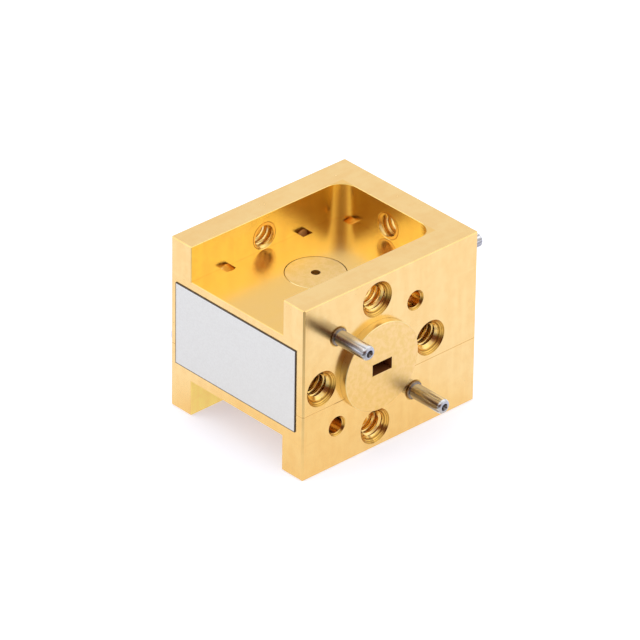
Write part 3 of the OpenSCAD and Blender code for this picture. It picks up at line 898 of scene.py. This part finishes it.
def lit_floor(tree, position, path):
    """A pale matt shader that keeps the shadow, with a glow that makes it white to look at and in metal."""
    grain = noise(tree, position, 0.02)
    seen_colour = mix_colour(tree, grain, FLOOR_PALE, FLOOR_SHADE)
    colour = mix_colour(tree, path["Is Glossy Ray"], seen_colour, FLOOR_MIRRORED)
    matt = add(tree, "ShaderNodeBsdfDiffuse", {"Color": colour}).outputs[0]
    seen = largest(tree, path["Is Camera Ray"], path["Is Transmission Ray"])
    strength = scaled(tree, path["Is Glossy Ray"], MIRRORED_GLOW, scaled(tree, seen, SEEN_GLOW))
    # A warm round patch near the object, painted light for the gold's bounce onto the floor
    from_patch = measure(tree, "DISTANCE", position, WARM_PATCH)
    outside = ramp(tree, from_patch, WARM_PATCH_INNER, WARM_PATCH_OUTER)
    mirrored_tint = mix_colour(tree, outside, BOUNCE_WARM_TINT, COOL_TINT)
    tint = mix_colour(tree, path["Is Glossy Ray"], SEEN_TINT, mirrored_tint)
    glow = add(tree, "ShaderNodeEmission", {"Color": tint, "Strength": strength}).outputs[0]
    return add(tree, "ShaderNodeAddShader", {0: matt, 1: glow}).outputs[0]


def floor_material():
    """Pale matt floor, white to look at and in the metal, apart from a dimmer wedge on the unlit side."""
    material, tree, position = stage_material("pale_floor")
    path = add(tree, "ShaderNodeLightPath").outputs
    towards = compass(UNLIT_AZIMUTH, 0)
    forward = measure(tree, "DOT_PRODUCT", position, towards)
    sideways = maths(tree, "ABSOLUTE", measure(tree, "DOT_PRODUCT", position, towards.cross(UP)))
    slope = maths(tree, "DIVIDE", sideways, maths(tree, "ADD", forward, UNLIT_APEX))
    in_wedge = ramp(tree, slope, UNLIT_INNER_SLOPE, UNLIT_OUTER_SLOPE, to_low=1.0, to_high=0.0)
    unlit = maths(tree, "MULTIPLY", ramp(tree, forward, UNLIT_START, UNLIT_FULL), in_wedge)
    fading = ramp(tree, forward, DIMMING_START, DIMMING_END, *DIMMING_GLOW)
    dim = add(tree, "ShaderNodeEmission", {"Strength": fading}).outputs[0]
    mirrored = maths(tree, "MULTIPLY", unlit, path["Is Glossy Ray"])
    lit = lit_floor(tree, position, path)
    whole = add(tree, "ShaderNodeMixShader", {0: mirrored, 1: lit, 2: dim}).outputs[0]
    connect(tree, tree.nodes["Material Output"].inputs, Surface=whole)
    return material


def card_material():
    """A warm dark oval that brightens towards its rim, lit by itself alone."""
    material, tree, position = stage_material("unlit_card")
    middle = compass(UNLIT_AZIMUTH, DARK_ELEVATION)
    across = UP.cross(middle).normalized()
    above = middle.cross(across)
    way = vector_maths(tree, "NORMALIZE", position)
    squares = []
    for axis, half_size in ((across, DARK_HALF_WIDTH), (above, DARK_HALF_HEIGHT)):
        part = measure(tree, "DOT_PRODUCT", way, axis)
        share = maths(tree, "DIVIDE", part, math.sin(math.radians(half_size)))
        squares.append(maths(tree, "POWER", share, 2.0))
    away = maths(tree, "SQRT", maths(tree, "ADD", *squares))
    red = ramp(tree, away, DARK_CORE, DARK_RIM, to_low=DARK_LIGHT)
    green = maths(tree, "POWER", red, DARK_GREEN_POWER)
    blue = maths(tree, "POWER", red, DARK_BLUE_POWER)
    warm = add(tree, "ShaderNodeCombineColor", {"Red": red, "Green": green, "Blue": blue}).outputs[0]
    glow = add(tree, "ShaderNodeEmission", {"Color": warm}).outputs[0]
    connect(tree, tree.nodes["Material Output"].inputs, Surface=glow)
    material.cycles.emission_sampling = "NONE"
    return material


def stage_mesh(name, vertices, faces, material):
    """A piece of the studio."""
    mesh = bpy.data.meshes.new(name)
    mesh.from_pydata(vertices, [], faces)
    mesh.materials.append(material)
    made = bpy.data.objects.new(name, mesh)
    bpy.context.scene.collection.objects.link(made)
    return made


def pale_floor():
    """The table top that the object stands on."""
    signs = ((-1, -1), (1, -1), (1, 1), (-1, 1))
    corners = [(x * FLOOR_HALF, y * FLOOR_HALF, FLOOR_LEVEL) for x, y in signs]
    stage_mesh("pale_floor", corners, [(0, 1, 2, 3)], floor_material())


def dark_side():
    """The unlit side of the studio behind the camera, a curved card with soft edges that metal mirrors."""
    columns = range(-CARD_HALF_TURN, CARD_HALF_TURN + 1, CARD_STEP)
    rows = range(0, CARD_TOP + 1, CARD_STEP)
    width = len(columns)
    vertices = [tuple(compass(UNLIT_AZIMUTH + a, e) * CARD_RADIUS) for e in rows for a in columns]
    starts = [row * width + column for row in range(len(rows) - 1) for column in range(width - 1)]
    faces = [(start, start + 1, start + width + 1, start + width) for start in starts]
    card = stage_mesh("dark_side", vertices, faces, card_material())
    card.visible_camera = False
    card.visible_shadow = False


def softbox(name, azimuth):
    """A square area lamp that faces the object, as bright to look at as the radiance says."""
    light = bpy.data.lights.new(name, "AREA")
    light.shape = "SQUARE"
    light.size = SOFTBOX_SIZE
    light.energy = SOFTBOX_RADIANCE * math.pi * SOFTBOX_SIZE ** 2
    lamp = bpy.data.objects.new(name, light)
    bpy.context.scene.collection.objects.link(lamp)
    back = compass(azimuth, SOFTBOX_ELEVATION)
    lamp.rotation_mode = "QUATERNION"
    lamp.rotation_quaternion = back.to_track_quat("Z", "Y")
    lamp.location = CAMERA_AIM + back * SOFTBOX_DISTANCE
    lamp.visible_camera = False


def build_studio():
    """Plain soft light from both sides and all around, over a pale floor."""
    white_world()
    pale_floor()
    dark_side()
    for name, azimuth in SOFTBOX_AZIMUTHS.items():
        softbox(name, azimuth)
    bpy.context.scene.view_settings.view_transform = "Standard"


dress_nodes()
thread_all_holes()
photo_camera()
build_studio()
